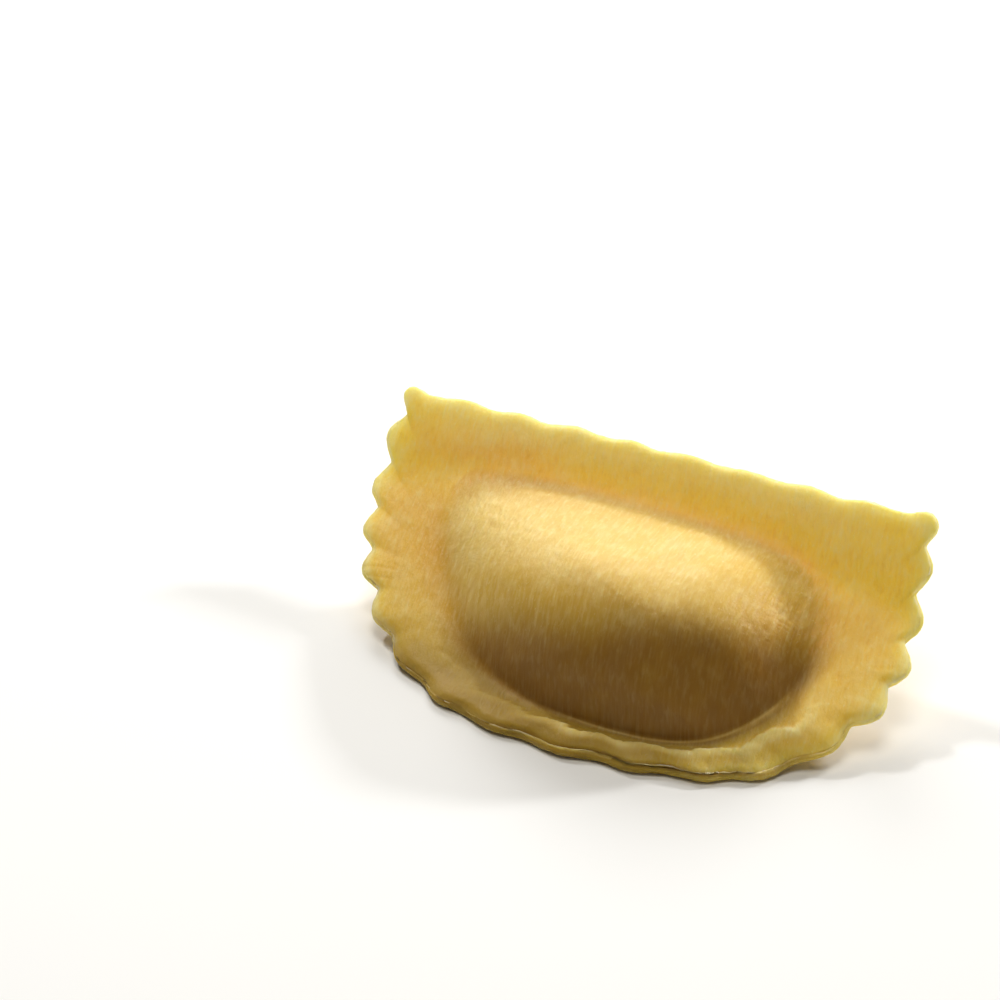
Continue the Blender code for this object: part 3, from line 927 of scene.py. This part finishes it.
def stretched_dough_and_painted_shade(place):
    """1 where the filling shows through and the deep colour also paints the shade of the pocket's front
    wall: that wall, its foot and, faintly, the seam.
    """
    x = place["x"]
    lean = np.where(x < 0, *SEE_THROUGH_LEAN) * x
    front = smooth_step(*SEE_THROUGH_Q, place["q"] - POCKET_Q + lean)
    pocket = front * smooth_step(foot_reach(x) + SEE_THROUGH_PAST, 0.0, place["border"])
    seam = bump(place["layer"], SEAM_AT, SEAM_WIDTH) * place["cut"]
    seam = seam * (SEAM_TINT + FRONT_SEAM_TINT * front_share(place["lobe"]))
    raised = np.maximum(place["fold"], place["lip"])
    return np.clip(pocket * (1 - RAISED_LESS_DEEP * raised) + seam, 0, 1)


def warm_tone_and_painted_shade(place):
    """Amber painted shade, partly the filling's warm tone: round the pocket's foot, on its right end and at
    its back, and a warmer tone on the left of the rim.
    """
    x, q, border = place["x"], place["q"], place["border"]
    foot = smooth_step(0.5, 0.0, place["inside"]) * smooth_step(foot_reach(x), 0.0, border)
    valley = VALLEY_PAINTED_SHADE * foot * (VALLEY_BACK + (1 - VALLEY_BACK) * smooth_step(*VALLEY_Q, q))
    right_end = RIGHT_END_PAINTED_SHADE * smooth_step(*RIGHT_END_X, x) * smooth_step(*RIGHT_END_Q, q)
    right_end = right_end * smooth_step(0.3, 0.0, border)
    left_rim = LEFT_RIM_WARMTH * smooth_step(*LEFT_RIM_X, x) * smooth_step(*LEFT_RIM_Q, q)
    left_rim = left_rim * smooth_step(1.0, 0.4, border)
    back = BACK_PAINTED_SHADE + BACK_LEFT_PAINTED_SHADE * smooth_step(*BACK_LEFT_X, x)
    back = back * smooth_step(*BACK_Q, q) * smooth_step(*BACK_END_Q, q) * smooth_step(0.2, 0.0, border)
    return np.maximum(np.maximum(valley, right_end), np.maximum(back, left_rim)) * place["top"]


def shaded_dough(place):
    """Painted shadow: 1 on the front of the border, where the pocket's shadow falls, with painted shade in
    its recess and on its cut face, but less on the raised fold and lip.
    """
    border, pressed = place["border"], pressed_share(place["lobe"])
    front = smooth_step(*FRONT_SHADE_Q, place["q"]) * smooth_step(*FRONT_SHADE_X, place["x"])
    front = FRONT_SHADE * front * smooth_step(0.05, 0.3, border)
    recess = RECESS_SHADE * pressed * bump(border, RECESS_AT, RECESS_SHADE_WIDTH)
    face = FACE_SHADE * pressed * place["cut"]
    raised = np.maximum(place["fold"], place["lip"])
    return np.clip(front + recess + face, 0, FRONT_SHADE) * (1 - RAISED_LESS_SHADE * raised)


def dry_dough_and_painted_highlights(place, fine):
    """1 on the cut edge's pale band and the rim's edge, painted glow of thin dough, on the crown, a painted
    highlight, and on all that is raised, dry dough with a painted highlight.
    """
    x, q, lobe, border = place["x"], place["q"], place["lobe"], place["border"]
    crests = flute_crests(lobe)
    wander = EDGE_BAND_WANDER * radial(place, lobes=0.5, shares=3.0, seed=17)
    wavering = border + EDGE_BAND_WAVE * crests + wander
    band = smooth_step(*EDGE_BAND, wavering) * (place["layer"] > EDGE_BAND_LOWEST)
    band *= 1 - PRESSED_LESS_BAND * pressed_share(lobe)
    patches = smooth_step(0.45, 0.9, border) * np.maximum(crests, 0)
    patches = patches * smooth_step(-0.1, 0.4, radial(place, lobes=0.14, shares=0.8, seed=16))
    rim_edge = smooth_step(*RIM_EDGE_X, np.abs(x)) * smooth_step(*RIM_EDGE_Q, q)
    rim_edge = rim_edge * smooth_step(0.1, 0.8, border)
    crown = smooth_step(*CROWN_X, x) * smooth_step(*CROWN_Q, q) * smooth_step(0.0, 0.4, place["inside"])
    crown = crown * (CROWN_BACK + (1 - CROWN_BACK) * smooth_step(*CROWN_BACK_Q, q))
    pale = band + RIM_EDGE_PAINTED_GLOW * rim_edge + CROWN_PAINTED_HIGHLIGHT * crown + PATCH_PALE * patches
    pale += RAISED_PALE * smooth_step(*RAISED_HEIGHT, fine)
    return np.clip(pale + FOLD_PALE * place["fold"] + LIP_PALE * place["lip"], 0, 1)


# ---- shader maths

class Value:
    """A shader socket that takes part in Python sums: each one adds its Math node."""

    def __init__(self, tree, socket):
        self.tree = tree
        self.socket = socket

    def _math(self, operation, *values):
        node = self.tree.nodes.new("ShaderNodeMath")
        node.operation = operation
        for slot, value in zip(node.inputs, values):
            if isinstance(value, Value):
                self.tree.links.new(value.socket, slot)
            else:
                slot.default_value = value
        return Value(self.tree, node.outputs[0])

    def __add__(self, other):
        return self._math("ADD", self, other)

    def __radd__(self, other):
        return self._math("ADD", other, self)

    def __sub__(self, other):
        return self._math("SUBTRACT", self, other)

    def __rsub__(self, other):
        return self._math("SUBTRACT", other, self)

    def __mul__(self, other):
        return self._math("MULTIPLY", self, other)

    def __rmul__(self, other):
        return self._math("MULTIPLY", other, self)

    def between(self, low, high):
        """0 below low, 1 above high and smooth between them."""
        node = self.tree.nodes.new("ShaderNodeMapRange")
        node.interpolation_type = "SMOOTHSTEP"
        self.tree.links.new(self.socket, node.inputs["Value"])
        node.inputs["From Min"].default_value = low
        node.inputs["From Max"].default_value = high
        return Value(self.tree, node.outputs["Result"])


class Shader:
    """A material's node tree, with one method that adds any node."""

    def __init__(self, name):
        self.material = bpy.data.materials.new(name)
        self.material.use_nodes = True
        self.tree = self.material.node_tree
        self.surface = self.tree.nodes["Principled BSDF"]

    def node(self, kind, output, settings=None, **values):
        """Adds a node, sets it up, fills its sockets and gives one of its outputs."""
        node = self.tree.nodes.new(kind)
        for name, value in (settings or {}).items():
            setattr(node, name, value)
        for name, value in values.items():
            self.fill(node.inputs[name.title()], value)
        return Value(self.tree, node.outputs[output])

    def fill(self, socket, value):
        if isinstance(value, Value):
            self.tree.links.new(value.socket, socket)
        else:
            socket.default_value = value

    def split(self, vector):
        """The three parts of a vector."""
        node = self.tree.nodes.new("ShaderNodeSeparateXYZ")
        self.fill(node.inputs[0], vector)
        return [Value(self.tree, output) for output in node.outputs]

    def mix(self, share, first, second):
        """One colour over another, by that share."""
        node = self.tree.nodes.new("ShaderNodeMix")
        node.data_type = "RGBA"
        for slot, value in zip((node.inputs[0], node.inputs[6], node.inputs[7]), (share, first, second)):
            self.fill(slot, value)
        return Value(self.tree, node.outputs[2])


def rgba(color):
    return (*color, 1.0)


def flat_noise(shader, flat, scale, detail):
    """Noise that lies on the flat half moon and so follows the dough."""
    place = shader.node("ShaderNodeMapping", "Vector", vector=flat, scale=scale)
    return shader.node("ShaderNodeTexNoise", "Fac", vector=place, scale=1.0, detail=detail)


def dough_material(finish):
    """Raw egg dough: golden, with painted glow where it is thin, deeper over the filling and as painted
    shade on the pocket's front, amber painted shade round its foot, painted shadow on the front border, and
    pale on dry places and painted highlights.
    """
    shader = Shader("raw_dough")
    flat = shader.node("ShaderNodeAttribute", "Vector", {"attribute_name": "flat_place"})
    tint = shader.node("ShaderNodeAttribute", "Vector", {"attribute_name": "tint"})
    foot = shader.node("ShaderNodeAttribute", "Vector", {"attribute_name": "foot"})
    # thin carries painted glow, stretched partly painted shade, dry partly painted highlights; warm is
    # painted shade and shaded is painted shadow.
    thin, stretched, dry = shader.split(tint)
    warm, shaded, _ = shader.split(foot)
    fibres = flat_noise(shader, flat, FIBRE_SCALE, detail=5.0)
    clouds = flat_noise(shader, flat, CLOUD_SCALE, detail=6.0)
    specks = flat_noise(shader, flat, SPECK_SCALE, detail=2.0)
    mottle = flat_noise(shader, flat, MOTTLE_SCALE, detail=4.0)

    # The thin colour paints glow on the rim and near the edges.
    color = shader.mix(thin, rgba(finish.gold), rgba(finish.thin))
    # Amber painted shade round the pocket's foot, its right end and its back.
    color = shader.mix(warm, color, rgba(finish.amber))
    # The deep colour is partly the filling and partly painted shade on the pocket's front wall.
    color = shader.mix(stretched * (DEEP_SHARE + clouds * CLOUDS_DEEP), color, rgba(finish.deep_and_painted_shade))
    freckles = mottle.between(0.5, 0.3) * (1 - stretched) * MOTTLE_AMBER
    color = shader.mix(freckles, color, rgba(finish.amber))
    lines = fibres.between(0.46, 0.62) * FIBRES_PALE + mottle.between(0.48, 0.66) * MOTTLE_PALE
    # Pale: painted highlights and glow from the dry mask, besides the dough's own pale fibres and clouds.
    dryness = dry * DRY_PALE + lines + clouds.between(0.46, 0.66) * CLOUDS_PALE
    color = shader.mix(dryness * (1 - stretched * STRETCHED_LESS_PALE), color, rgba(finish.pale))
    flecks = specks.between(0.62, 0.72) * (FLECKS - stretched * STRETCHED_LESS_FLECKS)
    color = shader.mix(flecks, color, rgba(FLECK_COLOR))
    # Painted shadow on the front of the border, its recess and its cut face.
    color = shader.mix(shaded, color, rgba(finish.shaded))
    rough = finish.roughness + (clouds - 0.5) * CLOUDS_ROUGHER + dry * DRY_ROUGHER
    height = fibres * FIBRES_BUMP + specks * SPECKS_BUMP + mottle * MOTTLE_BUMP
    normal = shader.node("ShaderNodeBump", "Normal", height=height, strength=1.0, distance=BUMP_DEPTH)
    sockets = {
        "Base Color": color,
        "Roughness": rough,
        "Normal": normal,
        "Specular IOR Level": SPECULAR,
        "Subsurface Weight": finish.glow,
        "Subsurface Radius": GLOW_REACH,
        "Subsurface Scale": GLOW_SCALE,
    }
    for name, value in sockets.items():
        shader.fill(shader.surface.inputs[name], value)
    return shader.material


def table_material(color):
    shader = Shader("pale_table")
    shader.fill(shader.surface.inputs["Base Color"], rgba(color))
    shader.fill(shader.surface.inputs["Roughness"], TABLE_ROUGHNESS)
    return shader.material


# ---- the operators

class PASTA_OT_parcel(bpy.types.Operator):
    """Model the filled parcel in place of its packed solid"""

    bl_idname = "pasta.parcel"
    bl_label = "Parcel"
    bl_options = {"REGISTER", "UNDO"}

    def execute(self, context):
        moon, pocket = context.scene.pasta_moon, context.scene.pasta_pocket
        parcel = square_sheets(moon)
        place = shape_parcel(parcel, moon, pocket)
        add_marks(place, pocket)
        fine = dough_relief(parcel, moon, place, context.scene.pasta_finish.relief)
        mesh = parcel.data
        store(mesh, "flat_place", place["x"], place["q"], place["layer"])
        # tint holds the painted glow, the stretched dough with its painted shade, and the dry places with
        # their painted highlights; foot holds the painted shade round the pocket and the painted shadow on
        # the front border.
        store(mesh, "tint", thin_dough_and_painted_glow(place), stretched_dough_and_painted_shade(place), dry_dough_and_painted_highlights(place, fine))
        store(mesh, "foot", warm_tone_and_painted_shade(place), shaded_dough(place), 0)
        bpy.ops.object.shade_smooth()
        mesh.materials.clear()
        mesh.materials.append(dough_material(context.scene.pasta_finish))
        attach(parcel, "root")
        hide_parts(NODE)
        return {"FINISHED"}


def aim(obj, target):
    away = obj.location - target
    obj.rotation_euler = away.to_track_quat("Z", "Y").to_euler()


def add_soft_light(name, azimuth, elevation, width, watts, color=(1, 1, 1)):
    """A square light at that many degrees round from +X and up from the table."""
    turn, rise = math.radians(azimuth), math.radians(elevation)
    level = math.cos(rise)
    toward = Vector((math.cos(turn) * level, math.sin(turn) * level, math.sin(rise)))
    bpy.ops.object.light_add(type="AREA", location=toward * LIGHT_DISTANCE)
    light = bpy.context.object
    light.name = name
    light.data.shape = "SQUARE"
    light.data.size = width
    light.data.energy = watts
    light.data.color = color
    aim(light, Vector((0, 0, 0)))


class PASTA_OT_stage(bpy.types.Operator):
    """Add the table, the lights and the camera"""

    bl_idname = "pasta.stage"
    bl_label = "Stage"
    bl_options = {"REGISTER", "UNDO"}

    def execute(self, context):
        stage = context.scene.pasta_stage
        deselect_everything()
        bpy.ops.mesh.primitive_plane_add(size=TABLE_SIZE, location=(0, 0, 0))
        table = bpy.context.object
        table.name = "table"
        table.data.materials.append(table_material(stage.table_color))
        add_soft_light("key_light", azimuth=115, elevation=35, width=0.35, watts=stage.key_watts)
        add_soft_light("left_light", azimuth=150, elevation=45, width=0.07, watts=stage.left_watts)
        add_soft_light("right_light", azimuth=58, elevation=28, width=0.07, watts=stage.right_watts)
        add_soft_light("top_light", azimuth=0, elevation=90, width=0.35, watts=stage.top_watts, color=WARM)
        self.light_room(context.scene, stage.ambient)
        self.add_camera(context.scene)
        return {"FINISHED"}

    def light_room(self, scene, strength):
        world = scene.world or bpy.data.worlds.new("room")
        scene.world = world
        world.use_nodes = True
        background = world.node_tree.nodes["Background"]
        background.inputs["Color"].default_value = rgba(WARM)
        background.inputs["Strength"].default_value = strength
        scene.view_settings.view_transform = "Standard"

    def add_camera(self, scene):
        level = math.cos(CAMERA_ELEVATION)
        back = Vector((
            math.sin(CAMERA_AZIMUTH) * level,
            -math.cos(CAMERA_AZIMUTH) * level,
            math.sin(CAMERA_ELEVATION),
        ))
        bpy.ops.object.camera_add(location=CAMERA_TARGET + back * CAMERA_DISTANCE)
        camera = bpy.context.object
        camera.name = "camera"
        aim(camera, CAMERA_TARGET)
        camera.data.sensor_width = CAMERA_SENSOR
        camera.data.lens = CAMERA_LENS
        camera.data.clip_start = MM
        camera.data.shift_x, camera.data.shift_y = CAMERA_SHIFT
        scene.camera = camera


class PASTA_PT_panel(bpy.types.Panel):
    """Sizes, colours and buttons of the pasta parcel"""

    bl_idname = "PASTA_PT_panel"
    bl_label = "Filled Pasta Parcel"
    bl_space_type = "VIEW_3D"
    bl_region_type = "UI"
    bl_category = "Pasta"

    def draw(self, context):
        for name, group in GROUPS.items():
            box = self.layout.box()
            box.label(text=group.__doc__)
            settings = getattr(context.scene, name)
            for prop in group.__annotations__:
                box.prop(settings, prop)
        self.layout.operator(PASTA_OT_parcel.bl_idname)
        self.layout.operator(PASTA_OT_stage.bl_idname)


GROUPS = {
    "pasta_moon": MoonSizes,
    "pasta_pocket": PocketSizes,
    "pasta_finish": DoughFinish,
    "pasta_stage": StageSettings,
}
CLASSES = (*GROUPS.values(), PASTA_OT_parcel, PASTA_OT_stage, PASTA_PT_panel)


def register():
    for cls in CLASSES:
        bpy.utils.register_class(cls)
    for name, group in GROUPS.items():
        setattr(bpy.types.Scene, name, PointerProperty(type=group))


def unregister():
    for name in GROUPS:
        delattr(bpy.types.Scene, name)
    for cls in reversed(CLASSES):
        bpy.utils.unregister_class(cls)


def main():
    register()
    bpy.ops.pasta.parcel()
    bpy.ops.pasta.stage()


if __name__ == "__main__":
    main()
